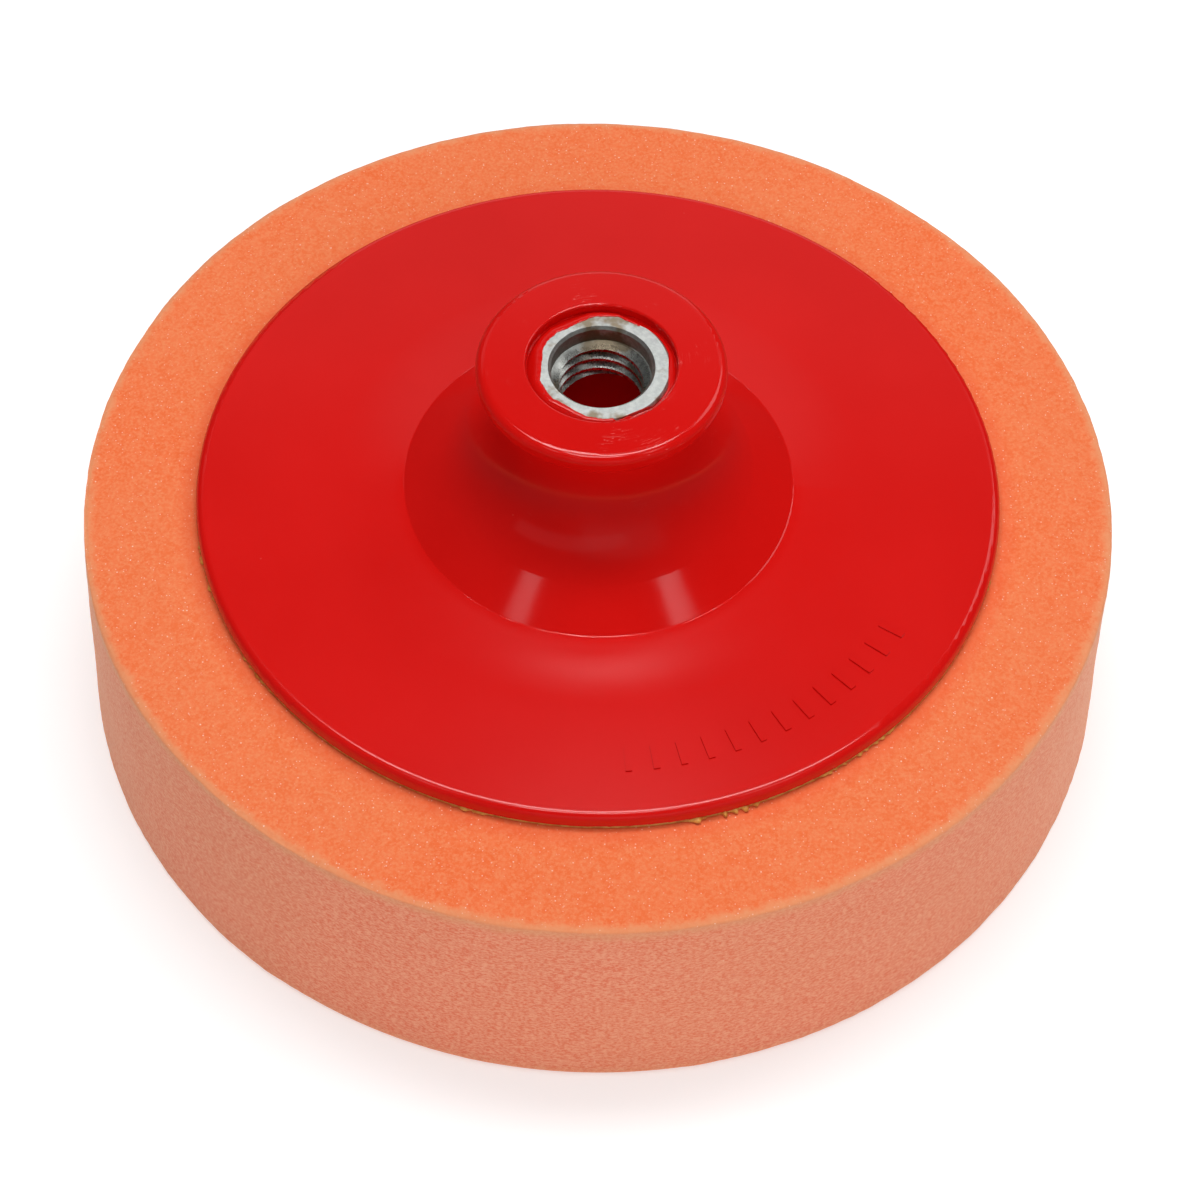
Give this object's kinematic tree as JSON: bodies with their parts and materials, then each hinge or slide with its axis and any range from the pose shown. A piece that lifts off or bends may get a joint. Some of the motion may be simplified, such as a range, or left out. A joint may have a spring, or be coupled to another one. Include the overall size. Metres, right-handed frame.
{
  "type": "polishing pad",
  "caption": "Round foam polishing head with a glued-on moulded plate, trumpet neck and a threaded steel insert for a rotary polisher's spindle.",
  "frame": {"origin": "centre of the foam's flat working face, which is the lowest face", "axes": "+Z along the spindle axis, from the working face towards the machine; the tick marks on the plate lie between -Y and +X"},
  "size_m": [0.151, 0.151, 0.066],
  "materials": {
    "foam": "orange open-cell polyurethane foam, fine cells, skived side",
    "adhesive": "amber contact glue, slightly glossy where it is squeezed out",
    "plate_plastic": "red moulded plastic, semi-gloss with light handling scratches",
    "plated_steel": "zinc-plated turned steel, dull silver with slight brown staining"
  },
  "bodies": {
    "root": {"foam_pad": "foam", "adhesive_layer": "adhesive", "backing_plate": "plate_plastic", "threaded_insert": "plated_steel"}
  },
  "joints": []
}
